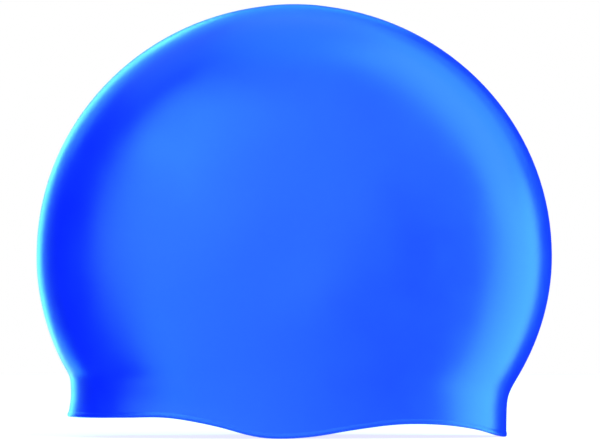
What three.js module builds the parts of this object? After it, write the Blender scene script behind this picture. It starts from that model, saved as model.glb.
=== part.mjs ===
// A moulded silicone swim cap: one seamless hollow shell, open at the bottom, as it stands by itself on a flat surface.
// Millimetres, +Z up. +X points to the nape, -X to the brow and -Y to the wearer's left.
// The origin is on the surface that the cap stands on, below the middle of its length and depth.
import * as THREE from "three";

// The dome, a lens that is long from brow to nape and narrow from side to side
const DOME_LENGTH = 196; // over the widest level, from front edge to back edge
const DOME_DEPTH = 76; // over the widest level, from side to side
const DOME_RISE = 95.2; // from the widest level up to the crown
const WIDEST_HEIGHT = 69; // from the lowest point of the rim up to the widest level
const FULLNESS = 2.5; // exponent of the lens: 2 gives an ellipse, more gives flatter sides and fuller edges

// The neck, where the front and back edges turn down into a short upright wall
const BROW_REACH = 84.8; // from the middle to the front wall
const NAPE_REACH = 80.6; // from the middle to the back wall
const BROW_NECK_HEIGHT = 22.2; // where the front edge meets its wall
const NAPE_NECK_HEIGHT = 16.4; // where the back edge meets its wall
const NECK_SOFTNESS = 2; // how gently edge and wall run into each other
const MOUTH_DEPTH = 72; // from side to side at the rim

// The wall and the bead round its rim
const WALL = 0.8;
const BEAD_THICKNESS = 1.9;
const BEAD_PROUD = 0.55; // how far the bead stands out from the outer face
const BEAD_HEIGHT = 3; // from the rim up to where the bead has run out into the wall

// The wave of the rim, from the middle of the nape round one ear to the middle of the brow; the other side mirrors it.
// The rows are evenly spaced, and each gives its height as a share of the wave.
const RIM_WAVE = 8; // from the ear lobe up to the crest ahead of it
const LOBE_AHEAD = 3.5; // from the middle of the length forward to the ear lobe
const RIM_ROWS = [
  { place: "middle of the nape", height: 0 },
  { place: "side of the nape", height: 0 },
  { place: "edge of the nape", height: 0.11 },
  { place: "rise behind the ear", height: 0.41 },
  { place: "slope up to the hollow", height: 0.63 },
  { place: "hollow behind the ear", height: 0.66 },
  { place: "slope down to the ear lobe", height: 0.4 },
  { place: "back of the ear lobe", height: 0.06 },
  { place: "front of the ear lobe", height: 0.04 },
  { place: "rise ahead of the ear", height: 0.6 },
  { place: "crest at the temple", height: 0.97 },
  { place: "front of the crest", height: 0.97 },
  { place: "edge of the brow", height: 0.95 },
  { place: "side of the brow", height: 0.95 },
  { place: "front of the brow", height: 0.96 },
  { place: "middle of the brow", height: 0.96 },
];

// How finely the form is divided
const SEGMENTS = 72; // round the cap
const DOME_ROWS = 14; // from the crown down to the widest level
const SKIRT_SHARES = [0.2, 0.4, 0.58, 0.74, 0.87, 0.95, 1]; // from the widest level down to the neck
const NECK_SHARES = [0.25, 0.6, 1]; // from the neck down to the bead
const BEAD_STEPS = 6; // round the lower half of the bead
const NUDGE = 1e-3; // step along the face that measures its slope

// Levels down the wall: 0 is the crown, and each of these ends a zone
const WIDEST_LEVEL = 1;
const NECK_LEVEL = 2;
const BEAD_LEVEL = 3;
const RIM_LEVEL = 4;

const { lerp, smoothstep } = THREE.MathUtils;

// A turn round the cap is 0 at the nape, a quarter at the ear lobe and a half at the brow. Its direction in the dome's
// own proportions leads it a little, as the lobe lies ahead of the middle.
function direction(turn) {
  return turn + (LOBE_AHEAD / BROW_REACH) * Math.sin(turn);
}

// Height of the rim at a turn round the cap.
const rimCurve = new THREE.SplineCurve(RIM_ROWS.map((row, index) => new THREE.Vector2(index, row.height)));
function rimHeight(turn) {
  const fromNape = Math.acos(Math.cos(turn)) / Math.PI;
  return RIM_WAVE * rimCurve.getPoint(fromNape).y;
}

// Factor that fills a round former out to the lens, in the dome's own proportions.
function fullness(along, across, up) {
  const outward = Math.hypot(along, up) ** FULLNESS;
  const sideways = Math.abs(across) ** FULLNESS;
  return (outward + sideways) ** (-1 / FULLNESS);
}

// Distance from the middle to the front or back edge at a height below the widest level.
function edgeReach(height, neckReach, neckHeight) {
  const half = DOME_LENGTH / 2;
  const neckDrop = Math.sqrt(Math.max(0, 1 - (neckReach / half) ** 2));
  const drop = (neckDrop * (WIDEST_HEIGHT - height)) / (WIDEST_HEIGHT - neckHeight);
  const edge = half * Math.sqrt(Math.max(0, 1 - drop ** 2));
  return (edge + neckReach + Math.hypot(edge - neckReach, NECK_SOFTNESS)) / 2;
}

// Point of the outer face on the dome.
function domePoint(turn, level) {
  const tilt = (level * Math.PI) / 2;
  const along = Math.sin(tilt) * Math.cos(direction(turn));
  const across = Math.sin(tilt) * Math.sin(direction(turn));
  const up = Math.cos(tilt);
  const fill = fullness(along, across, up);
  return new THREE.Vector3(
    (DOME_LENGTH / 2) * fill * along,
    (DOME_DEPTH / 2) * fill * across,
    WIDEST_HEIGHT + DOME_RISE * fill * up,
  );
}

// Height of the outer face below the widest level.
function skirtHeight(turn, level) {
  const neckHeight = lerp(BROW_NECK_HEIGHT, NAPE_NECK_HEIGHT, (1 + Math.cos(turn)) / 2);
  if (level <= NECK_LEVEL) return lerp(WIDEST_HEIGHT, neckHeight, level - WIDEST_LEVEL);
  const rim = rimHeight(turn);
  if (level <= BEAD_LEVEL) return lerp(neckHeight, rim + BEAD_HEIGHT, level - NECK_LEVEL);
  return rim + BEAD_HEIGHT * (RIM_LEVEL - level);
}

// Point of the outer face below the widest level, as if the wall had no bead.
function skirtPoint(turn, level) {
  const along = Math.cos(direction(turn));
  const across = Math.sin(direction(turn));
  const fill = fullness(along, across, 0);
  const height = skirtHeight(turn, level);
  const reach =
    along > 0
      ? edgeReach(height, NAPE_REACH, NAPE_NECK_HEIGHT)
      : edgeReach(height, BROW_REACH, BROW_NECK_HEIGHT);
  const depth = lerp(MOUTH_DEPTH, DOME_DEPTH, smoothstep(height, 0, WIDEST_HEIGHT));
  return new THREE.Vector3(reach * fill * along, (depth / 2) * fill * across, height);
}

function outerPoint(turn, level) {
  return level < WIDEST_LEVEL ? domePoint(turn, level) : skirtPoint(turn, level);
}

// Direction square to the outer face, pointing out.
function outward(turn, level) {
  if (level === 0) return new THREE.Vector3(0, 0, 1);
  const round = outerPoint(turn + NUDGE, level).sub(outerPoint(turn - NUDGE, level));
  const down = outerPoint(turn, level + NUDGE).sub(outerPoint(turn, level - NUDGE));
  return down.cross(round).normalize();
}

// The wall cut open from the crown down the inside, round the rim and back up outside, as level and depth into the wall.
function wallSection() {
  const faceLevels = [];
  for (let row = 0; row <= DOME_ROWS; row++) faceLevels.push((row / DOME_ROWS) * WIDEST_LEVEL);
  for (const share of SKIRT_SHARES) faceLevels.push(WIDEST_LEVEL + share);
  for (const share of NECK_SHARES) faceLevels.push(NECK_LEVEL + share);

  const beadRadius = BEAD_THICKNESS / 2;
  const beadCentre = beadRadius - BEAD_PROUD;
  const bead = [];
  for (let step = 0; step <= BEAD_STEPS; step++) {
    const roll = (Math.PI * step) / BEAD_STEPS;
    const lift = beadRadius * (1 - Math.sin(roll));
    bead.push(new THREE.Vector2(RIM_LEVEL - lift / BEAD_HEIGHT, beadCentre + beadRadius * Math.cos(roll)));
  }

  const inside = faceLevels.map((level) => new THREE.Vector2(level, WALL));
  const outside = faceLevels.map((level) => new THREE.Vector2(level, 0)).reverse();
  return [...inside, ...bead, ...outside];
}

// The section is turned once round the axis, and each corner of the turned strip is then moved to its place on the cap.
function capGeometry() {
  const geometry = new THREE.LatheGeometry(wallSection(), SEGMENTS);
  const position = geometry.getAttribute("position");
  const corner = new THREE.Vector3();
  for (let index = 0; index < position.count; index++) {
    corner.fromBufferAttribute(position, index);
    const level = Math.hypot(corner.x, corner.z);
    const turn = Math.atan2(corner.x, corner.z);
    const place = outerPoint(turn, level).addScaledVector(outward(turn, level), -corner.y);
    position.setXYZ(index, place.x, place.y, place.z);
  }
  geometry.deleteAttribute("normal");
  geometry.deleteAttribute("uv");
  geometry.computeBoundingBox();
  geometry.translate(0, 0, -geometry.boundingBox.min.z);
  geometry.computeVertexNormals();
  return geometry;
}

const silicone = new THREE.MeshStandardMaterial({ color: 0x2463f5, roughness: 0.5, metalness: 0 });
silicone.name = "silicone";

const capShell = new THREE.Mesh(capGeometry(), silicone);
capShell.name = "cap_shell";

const swimCap = new THREE.Group();
swimCap.name = "swim_cap";
swimCap.add(capShell);

export default swimCap;
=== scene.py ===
from math import acos, cos, exp, hypot, pi, radians, sin, sqrt, tan

import bpy
from mathutils import Matrix, Vector


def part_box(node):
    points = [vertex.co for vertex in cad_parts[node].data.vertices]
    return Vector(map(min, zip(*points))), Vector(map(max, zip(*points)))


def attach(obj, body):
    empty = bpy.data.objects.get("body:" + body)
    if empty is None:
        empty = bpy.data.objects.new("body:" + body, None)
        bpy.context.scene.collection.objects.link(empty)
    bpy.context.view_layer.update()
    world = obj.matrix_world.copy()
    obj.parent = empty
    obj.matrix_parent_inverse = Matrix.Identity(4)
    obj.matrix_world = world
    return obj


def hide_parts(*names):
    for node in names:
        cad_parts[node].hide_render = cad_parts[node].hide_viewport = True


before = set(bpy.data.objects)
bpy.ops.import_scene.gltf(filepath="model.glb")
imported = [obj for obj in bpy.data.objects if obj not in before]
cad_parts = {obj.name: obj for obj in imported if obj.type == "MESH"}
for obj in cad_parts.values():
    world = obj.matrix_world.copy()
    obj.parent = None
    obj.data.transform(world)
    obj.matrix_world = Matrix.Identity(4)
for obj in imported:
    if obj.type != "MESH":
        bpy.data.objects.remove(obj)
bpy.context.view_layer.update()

# The shell of the cap.
# It is one seamless piece of silicone rubber, pressed hot round the core of a mould and peeled off it.
# The mould is etched, so the outside is matt, and the thin wall stands in faint swells and hollows.
MM = 0.001
WALL = 0.8 * MM
WIDEST_HEIGHT = 69 * MM
FULLNESS = 2.5 # exponent of the lens: 2 gives an ellipse, more gives flatter sides and fuller edges
CURVE_FULLNESS = 0.688 # handle length of a Bezier circle that is as full as the lens
CURVE_STEPS = 32 # corners in each quarter of a ring
DOME_TILTS = range(85, 4, -5) # degrees between the crown's axis and each ring of the dome
BROW_REACH = 84.8 * MM # from the middle to the front wall
NAPE_REACH = 80.6 * MM # from the middle to the back wall
BROW_NECK_HEIGHT = 22.2 * MM # where the front edge meets its wall
NAPE_NECK_HEIGHT = 16.4 * MM # where the back edge meets its wall
NECK_SOFTNESS = 2 * MM # how gently edge and wall run into each other
MOUTH_DEPTH = 72 * MM # from side to side at the rim
SKIRT_HEIGHTS = ( # of the rings in millimetres, closest at the bead
    62, 55, 48.5, 42.5, 37, 32, 28, 24.5, 21.5, 18.5, 15.5,
    12.5, 10, 7.5, 5.5, 4, 2.8, 2.2, 1.92, 1.35, 0.55, 0,
)
BROW_FLARE = 1.4 * MM # how far the brow corner turns out at the rim
FLARE_STARTS = 10 * MM # height below which it turns out
BEAD_BOTTOM = 0.4 * MM # above the rim
BEAD_TOP = 1.6 * MM # above the rim
BEAD_OUTSIDE = 0.2 * MM # how far the bead stands out from the outer face
BEAD_INSIDE = 0.9 * MM # how far it stands in from the inner face
RIM_WAVE = 8 * MM # from the ear lobe up to the crest ahead of it
LOBE_AHEAD = 3.5 * MM # from the middle of the length forward to the ear lobe
RIM_SHARES = ( # heights of the rim as shares of the wave, evenly spaced from the nape round to the brow
    0, 0, 0.11, 0.41, 0.63, 0.66, 0.4, 0.06,
    0.04, 0.6, 0.97, 0.97, 0.95, 0.95, 0.96, 0.96,
)
SOFT_SWELLS = ( # side, then place along, height, reach and swell in millimetres; below 0 is a hollow
    (-1, 14, 52, 17, 0.8), # side -1 is the wearer's left and 1 the right
    (-1, 36, 84, 17, 0.6),
    (-1, -24, 82, 18, 0.7),
    (-1, -58, 88, 16, -0.35),
    (-1, -50, 20, 16, 0.5),
    (-1, -34, 124, 18, -0.3),
    (1, 24, 58, 18, 0.55),
    (1, -38, 88, 20, -0.5),
    (1, 46, 104, 16, 0.45),
    (1, -8, 124, 18, -0.4),
    (1, -50, 28, 14, 0.35),
)
WAVE_STARTS = 3 * MM # up to here the wall rises and falls with the rim
WAVE_ENDS = 30 * MM # from here up it doesn't
CROWN_BAND = 0.5 * MM # corners less than this below the last ring belong to the crown
CROWN_INSIDE = 0.99 # share of the last ring's size within which a corner is rounded
SAME_PLACE = 0.01 * MM # corners this close are merged
SAME_LEVEL = 0.1 * MM # corners this close in height are of one ring
EXTRA_SMOOTHNESS = 1 # times that each face is divided at the end

low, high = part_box("cap_shell")
half_length = (high.x - low.x) / 2
half_depth = (high.y - low.y) / 2
dome_rise = high.z - WIDEST_HEIGHT


def select_corners(shell, wanted):
    """Selects the corners of the shell that pass a test, and ends in edit mode."""
    bpy.ops.object.mode_set(mode="EDIT")
    bpy.ops.mesh.select_mode(type="VERT")
    bpy.ops.mesh.select_all(action="DESELECT")
    bpy.ops.object.mode_set(mode="OBJECT")
    for corner in shell.data.vertices:
        corner.select = wanted(corner)
    bpy.ops.object.mode_set(mode="EDIT")


def edge_reach(height, reach, neck_height):
    """Distance from the middle to the front or back edge at a height below the widest level."""
    neck_drop = sqrt(1 - (reach / half_length) ** 2)
    drop = neck_drop * (WIDEST_HEIGHT - height) / (WIDEST_HEIGHT - neck_height)
    edge = half_length * sqrt(max(0, 1 - drop ** 2))
    return (edge + reach + hypot(edge - reach, NECK_SOFTNESS)) / 2


def smooth_step(value, start, end):
    """0 up to the start, 1 from the end on, and a soft rise between them."""
    share = min(1, max(0, (value - start) / (end - start)))
    return share * share * (3 - 2 * share)


def rim_height(place):
    """Height of the rim straight below a place on the wall, on a smooth curve through its shares."""
    reach = NAPE_REACH if place.x > 0 else BROW_REACH
    share = min(1, abs(place.x) / reach)
    across = (1 - share ** FULLNESS) ** (1 / FULLNESS)
    along = share if place.x > 0 else -share
    direction = acos(along / hypot(along, across))
    turn = direction - LOBE_AHEAD / BROW_REACH * sin(direction)
    way = turn / pi * (len(RIM_SHARES) - 1)
    row = min(int(way), len(RIM_SHARES) - 2)
    rest = way - row
    before = RIM_SHARES[max(0, row - 1)]
    start = RIM_SHARES[row]
    end = RIM_SHARES[row + 1]
    after = RIM_SHARES[min(len(RIM_SHARES) - 1, row + 2)]
    leave = (end - before) / 2
    arrive = (after - start) / 2
    bend = (2 * start - 2 * end + leave + arrive) * rest ** 3
    bend += (3 * end - 3 * start - 2 * leave - arrive) * rest ** 2
    return RIM_WAVE * (bend + leave * rest + start)


# The widest ring is a Bezier circle whose handles are drawn out, which gives the lens its full edges
bpy.ops.object.select_all(action="DESELECT")
bpy.ops.curve.primitive_bezier_circle_add(radius=1, location=(0, 0, 0))
shell = bpy.context.object
shell.data.resolution_u = CURVE_STEPS
for point in shell.data.splines[0].bezier_points:
    point.handle_left_type = "FREE"
    point.handle_right_type = "FREE"
    stretch = CURVE_FULLNESS / (point.handle_right - point.co).length
    point.handle_left = point.co + (point.handle_left - point.co) * stretch
    point.handle_right = point.co + (point.handle_right - point.co) * stretch
bpy.ops.object.convert(target="MESH")
shell = bpy.context.object
shell.name = "cap_shell_silicone"

bpy.ops.object.mode_set(mode="EDIT")
bpy.ops.mesh.select_all(action="SELECT")
bpy.ops.mesh.remove_doubles(threshold=SAME_PLACE)
bpy.ops.transform.resize(value=(half_length, half_depth, 1), center_override=(0, 0, 0))
bpy.ops.transform.translate(value=(0, 0, WIDEST_HEIGHT))

# The dome rises ring by ring
last_height = 0
last_length = 1
last_depth = 1
for tilt in DOME_TILTS:
    height = cos(radians(tilt))
    length = sin(radians(tilt))
    depth = (1 - height ** FULLNESS) ** (1 / FULLNESS)
    rise = (0, 0, (height - last_height) * dome_rise)
    shrink = (length / last_length, depth / last_depth, 1)
    bpy.ops.mesh.extrude_edges_move(TRANSFORM_OT_translate={"value": rise})
    bpy.ops.transform.resize(value=shrink, center_override=(0, 0, 0))
    last_height = height
    last_length = length
    last_depth = depth
bpy.ops.mesh.fill_grid(span=CURVE_STEPS)

# The skirt goes down ring by ring and draws in to the neck
select_corners(shell, lambda corner: abs(corner.co.z - WIDEST_HEIGHT) < SAME_LEVEL)
last_height = WIDEST_HEIGHT
last_middle = 0
last_length = half_length
last_depth = half_depth
for millimetres in SKIRT_HEIGHTS:
    height = millimetres * MM
    nape = edge_reach(height, NAPE_REACH, NAPE_NECK_HEIGHT)
    brow = edge_reach(height, BROW_REACH, BROW_NECK_HEIGHT)
    brow += BROW_FLARE * max(0, 1 - height / FLARE_STARTS) ** 2
    middle = (nape - brow) / 2
    length = (nape + brow) / 2
    depth = MOUTH_DEPTH / 2 + (half_depth - MOUTH_DEPTH / 2) * smooth_step(height, 0, WIDEST_HEIGHT)
    move = (middle - last_middle, 0, height - last_height)
    shrink = (length / last_length, depth / last_depth, 1)
    bpy.ops.mesh.extrude_edges_move(TRANSFORM_OT_translate={"value": move})
    bpy.ops.transform.resize(value=shrink, center_override=(middle, 0, height))
    last_height = height
    last_middle = middle
    last_length = length
    last_depth = depth
bpy.ops.object.mode_set(mode="OBJECT")

# The sides get their swells and hollows, the rim is lifted into its wave, and the crown is rounded
crown_tilt = radians(DOME_TILTS[-1])
crown_height = cos(crown_tilt) * dome_rise + WIDEST_HEIGHT
crown_length = sin(crown_tilt) * half_length
crown_depth = (1 - cos(crown_tilt) ** FULLNESS) ** (1 / FULLNESS) * half_depth
for corner in shell.data.vertices:
    place = corner.co
    for side, along, height, reach, swell in SOFT_SWELLS:
        if side * place.y > 0:
            off = hypot(place.x - along * MM, place.z - height * MM) / (reach * MM)
            place.y += side * swell * MM * exp(-off ** 2)
    if place.z < WAVE_ENDS:
        place.z += rim_height(place) * (1 - smooth_step(place.z, WAVE_STARTS, WAVE_ENDS))
    elif place.z > crown_height - CROWN_BAND:
        off_crown = hypot(place.x / crown_length, place.y / crown_depth)
        if off_crown < CROWN_INSIDE:
            place.z = crown_height + (high.z - crown_height) * (1 - off_crown ** 2)

bpy.ops.object.mode_set(mode="EDIT")
bpy.ops.mesh.select_all(action="SELECT")
bpy.ops.mesh.normals_make_consistent(inside=False)
bpy.ops.object.mode_set(mode="OBJECT")

# The wall gets its thickness inwards
thickness = shell.modifiers.new("wall", "SOLIDIFY")
thickness.thickness = WALL
thickness.offset = -1
thickness.use_even_offset = True
bpy.ops.object.modifier_apply(modifier="wall")


def in_bead(corner, outside):
    """Whether a corner belongs to the bead, on the outer or on the inner face."""
    faces_out = corner.normal.x * corner.co.x + corner.normal.y * corner.co.y > 0
    return faces_out == outside and BEAD_BOTTOM < corner.co.z - rim_height(corner.co) < BEAD_TOP


# The bead is swollen out of the wall round the rim, a little outside and mostly inside
for outside, swell in ((True, BEAD_OUTSIDE), (False, BEAD_INSIDE)):
    select_corners(shell, lambda corner: in_bead(corner, outside))
    bpy.ops.transform.shrink_fatten(value=swell)
    bpy.ops.object.mode_set(mode="OBJECT")

smooth = shell.modifiers.new("smooth", "SUBSURF")
smooth.levels = EXTRA_SMOOTHNESS
smooth.render_levels = EXTRA_SMOOTHNESS
bpy.ops.object.modifier_apply(modifier="smooth")
bpy.ops.object.shade_smooth()


def linear(hex_colour):
    """The linear colour that shaders use, from an sRGB hex value, by the numbers of the sRGB standard."""
    colour = []
    for at in (1, 3, 5):
        share = int(hex_colour[at:at + 2], 16) / 255
        colour.append(share / 12.92 if share <= 0.04045 else ((share + 0.055) / 1.055) ** 2.4)
    return (*colour, 1)


def add_node(owner, kind, settings=None, links=None):
    """Adds a node to a material or the world, with values and links by the names of its sockets."""
    node = owner.node_tree.nodes.new(kind)
    for name, value in (settings or {}).items():
        node.inputs[name].default_value = value
    for name, output in (links or {}).items():
        owner.node_tree.links.new(output, node.inputs[name])
    return node


# Silicone rubber from an etched mould is a deep blue all through, with a satin gloss that takes on the blue.
# The eye gets a fine matt grain, a faint unevenness of the wall, and a film that dulls the gloss in patches.
GRAIN = 0.9 * MM # the real etching is nearer 0.1 mm, too fine to show
GRAIN_HEIGHT = 0.02 * MM
RIPPLE = 11 * MM
RIPPLE_HEIGHT = 0.03 * MM
FILM_PATCH = 16 * MM
BARE_ROUGHNESS = 0.3
FILM_ROUGHNESS = 0.36
BARE_BLUE = "#061EF4"
FILM_BLUE = "#0826FF"
GLOSS_BLUE = "#7CFFFF"
SILICONE_IOR = 1.41
silicone = bpy.data.materials.new("silicone_rubber_etched_mould")
silicone.use_nodes = True
silicone.node_tree.nodes.clear()
object_place = add_node(silicone, "ShaderNodeTexCoord").outputs["Object"]
grain = add_node(
    silicone,
    "ShaderNodeTexNoise",
    {"Scale": 1 / GRAIN, "Detail": 2, "Roughness": 0.6},
    {"Vector": object_place},
)
ripple = add_node(
    silicone,
    "ShaderNodeTexNoise",
    {"Scale": 1 / RIPPLE, "Detail": 1},
    {"Vector": object_place},
)
film = add_node(
    silicone,
    "ShaderNodeTexNoise",
    {"Scale": 1 / FILM_PATCH, "Detail": 4, "Roughness": 0.6},
    {"Vector": object_place},
)
ripple_bump = add_node(
    silicone,
    "ShaderNodeBump",
    {"Strength": 1, "Distance": RIPPLE_HEIGHT},
    {"Height": ripple.outputs["Fac"]},
)
grain_bump = add_node(
    silicone,
    "ShaderNodeBump",
    {"Strength": 0.35, "Distance": GRAIN_HEIGHT},
    {"Height": grain.outputs["Fac"], "Normal": ripple_bump.outputs["Normal"]},
)
gloss = add_node(
    silicone,
    "ShaderNodeMapRange",
    {"From Min": 0.3, "From Max": 0.7, "To Min": BARE_ROUGHNESS, "To Max": FILM_ROUGHNESS},
    {"Value": film.outputs["Fac"]},
)
tone = add_node(
    silicone,
    "ShaderNodeMixRGB",
    {"Color1": linear(BARE_BLUE), "Color2": linear(FILM_BLUE)},
    {"Fac": film.outputs["Fac"]},
)
surface = add_node(
    silicone,
    "ShaderNodeBsdfPrincipled",
    {"IOR": SILICONE_IOR, "Specular IOR Level": 1.0, "Specular Tint": linear(GLOSS_BLUE)},
    {
        "Base Color": tone.outputs["Color"],
        "Roughness": gloss.outputs["Result"],
        "Normal": grain_bump.outputs["Normal"],
    },
)
add_node(silicone, "ShaderNodeOutputMaterial", links={"Surface": surface.outputs["BSDF"]})
shell.data.materials.clear()
shell.data.materials.append(silicone)

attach(shell, "root")
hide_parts("cap_shell")

# The floor.
# It is the round top of a light table, one cast sheet of white opal acrylic with a matt face.
# The sheet is lit from below, so hardly a shadow of the cap shows on it.
FLOOR_RADIUS = 1.1
FLOOR_CORNERS = 96
OPAL_WHITE = "#8C8C8C"
OPAL_GLOW = 0.8
GLOW_WHITE = "#FFFFFF"
bpy.ops.object.select_all(action="DESELECT")
bpy.ops.mesh.primitive_circle_add(
    vertices=FLOOR_CORNERS,
    radius=FLOOR_RADIUS,
    fill_type="NGON",
    location=(0, 0, 0),
)
floor = bpy.context.object
floor.name = "floor"
opal = bpy.data.materials.new("opal_acrylic_sheet")
opal.use_nodes = True
opal.node_tree.nodes.clear()
sheet = add_node(
    opal,
    "ShaderNodeBsdfPrincipled",
    {
        "Base Color": linear(OPAL_WHITE),
        "Roughness": 0.8,
        "Emission Color": linear(GLOW_WHITE),
        "Emission Strength": OPAL_GLOW,
    },
)
add_node(opal, "ShaderNodeOutputMaterial", links={"Surface": sheet.outputs["BSDF"]})
floor.data.materials.append(opal)

# The sheet neither lights nor shades the cap, so that the low panels below it reach the cap
floor.visible_diffuse = False
floor.visible_glossy = False
floor.visible_shadow = False

# The light.
# Soft panels hang all round the cap as a light tent, brightest beyond the nape and dark ahead of the brow.
# The camera sees a white room behind them, which adds hardly any light of its own.
TENT_RADIUS = 1.6
TENT_MIDDLE = Vector((0, 0, 80 * MM))
ROOM_LIGHT = "#E1EDFF"
ROOM_LIGHT_STRENGTH = 0.02
ROOM_WHITE = "#FFFFFF"
scene = bpy.context.scene
scene.view_settings.view_transform = "Standard"
scene.view_settings.look = "None"

world = bpy.data.worlds.new("studio")
scene.world = world
world.use_nodes = True
world.node_tree.nodes.clear()
rays = add_node(world, "ShaderNodeLightPath")
dim = add_node(world, "ShaderNodeBackground", {"Color": linear(ROOM_LIGHT), "Strength": ROOM_LIGHT_STRENGTH})
white = add_node(world, "ShaderNodeBackground", {"Color": linear(ROOM_WHITE), "Strength": 1})
room = add_node(world, "ShaderNodeMixShader", links={"Fac": rays.outputs["Is Camera Ray"]})
add_node(world, "ShaderNodeOutputWorld", links={"Surface": room.outputs["Shader"]})

# Both inputs of a mix shader are named Shader, so these two links go by number
world.node_tree.links.new(dim.outputs["Background"], room.inputs[1])
world.node_tree.links.new(white.outputs["Background"], room.inputs[2])


def soft_panel(name, near, far, start, end, radiance, red):
    """Hangs a panel that faces the cap, with its radiance and the share of red in its light.

    It reaches between two angles off the line to the camera, and between two turns round that line, all in
    degrees. Turn 0 is the nape's side and turn 90 is overhead.
    """
    off = radians((near + far) / 2)
    turn = radians((start + end) / 2)
    width = 2 * TENT_RADIUS * tan(radians(end - start) / 2) * sin(off)
    height = 2 * TENT_RADIUS * tan(radians(far - near) / 2)
    data = bpy.data.lights.new(name, "AREA")
    data.shape = "RECTANGLE"
    data.size = width
    data.size_y = height
    data.energy = radiance * pi * width * height
    data.color = (red, 1, 1)
    panel = bpy.data.objects.new(name, data)
    scene.collection.objects.link(panel)
    back = Vector((sin(off) * cos(turn), -cos(off), sin(off) * sin(turn)))
    top = Vector((cos(off) * cos(turn), sin(off), cos(off) * sin(turn)))
    panel.location = TENT_MIDDLE + back * TENT_RADIUS
    panel.rotation_euler = Matrix((top.cross(back), top, back)).transposed().to_euler()
    panel.visible_camera = False


# In front of the cap, round the camera
soft_panel("centre_right_panel", 1, 45, -65, 22, 0.66, 1.00)
soft_panel("centre_top_right_panel", 19, 45, 22, 67, 1.41, 1.00)
soft_panel("centre_top_panel", 1, 45, 67, 112, 1.93, 1.00)
soft_panel("key_panel", 19, 45, 112, 157, 4.68, 0.83)
soft_panel("centre_left_panel", 1, 45, 157, 202, 2.60, 1.00)
soft_panel("centre_low_left_panel", 19, 35, 202, 247, 3.80, 0.58)
soft_panel("centre_low_panel", 1, 45, 247, 295, 0.69, 1.00)

# Round the sides, beyond the nape, above and below
soft_panel("near_right_panel", 45, 60, -45, 15, 4.96, 0.85)
soft_panel("right_panel", 60, 80, -45, 15, 6.01, 0.73)
soft_panel("far_right_panel", 80, 105, -45, 15, 6.63, 0.49)
soft_panel("near_top_right_panel", 45, 80, 15, 75, 4.53, 0.81)
soft_panel("far_top_right_panel", 80, 105, 15, 75, 3.52, 0.42)
soft_panel("top_panel", 45, 105, 75, 105, 2.39, 0.62)
soft_panel("top_left_panel", 60, 105, 105, 135, 1.20, 0.75)
soft_panel("low_panel", 45, 105, 225, 315, 1.61, 0.71)

# Behind the cap, to light its edges
soft_panel("back_top_right_panel", 105, 130, 22, 67, 1.03, 0.26)
soft_panel("back_top_panel", 105, 130, 67, 157, 1.74, 0.32)
soft_panel("back_left_panel", 105, 130, 157, 202, 0.41, 0.40)
soft_panel("back_low_left_panel", 105, 130, 202, 247, 2.38, 0.21)
soft_panel("rim_top_panel", 130, 155, 67, 112, 1.37, 0.14)
soft_panel("rim_top_left_panel", 130, 155, 112, 157, 5.15, 0.22)
soft_panel("rim_left_panel", 130, 155, 157, 202, 5.31, 0.20)
soft_panel("rim_low_left_panel", 130, 155, 202, 247, 3.42, 0.33)
soft_panel("back_low_panel", 105, 155, 247, 292, 0.71, 0.97)
soft_panel("back_panel", 155, 179, 135, 225, 1.52, 0.59)

# The camera.
# It looks square at the wearer's left side from far off, through a long lens that keeps the outline true.
# It stands a touch above the level of the cap's middle.
CAMERA_DISTANCE = 4
CAMERA_RISE = radians(0.4)
CAMERA_SEES = 50 # metres, so that the far floor isn't cut off
SENSOR_WIDTH = 36 # millimetres, as the lens
FRAME_WIDTH = 228 * MM # across the picture, at the cap
FRAME_MIDDLE = Vector((2.2 * MM, 0, 81.1 * MM))
bpy.ops.object.camera_add()
camera = bpy.context.object
camera.name = "photo_camera"
camera.data.sensor_width = SENSOR_WIDTH
camera.data.lens = SENSOR_WIDTH * CAMERA_DISTANCE / FRAME_WIDTH
camera.data.clip_end = CAMERA_SEES
away = Vector((0, -cos(CAMERA_RISE), sin(CAMERA_RISE)))
camera.location = FRAME_MIDDLE + away * CAMERA_DISTANCE
camera.rotation_euler = (pi / 2 - CAMERA_RISE, 0, 0)
scene.camera = camera
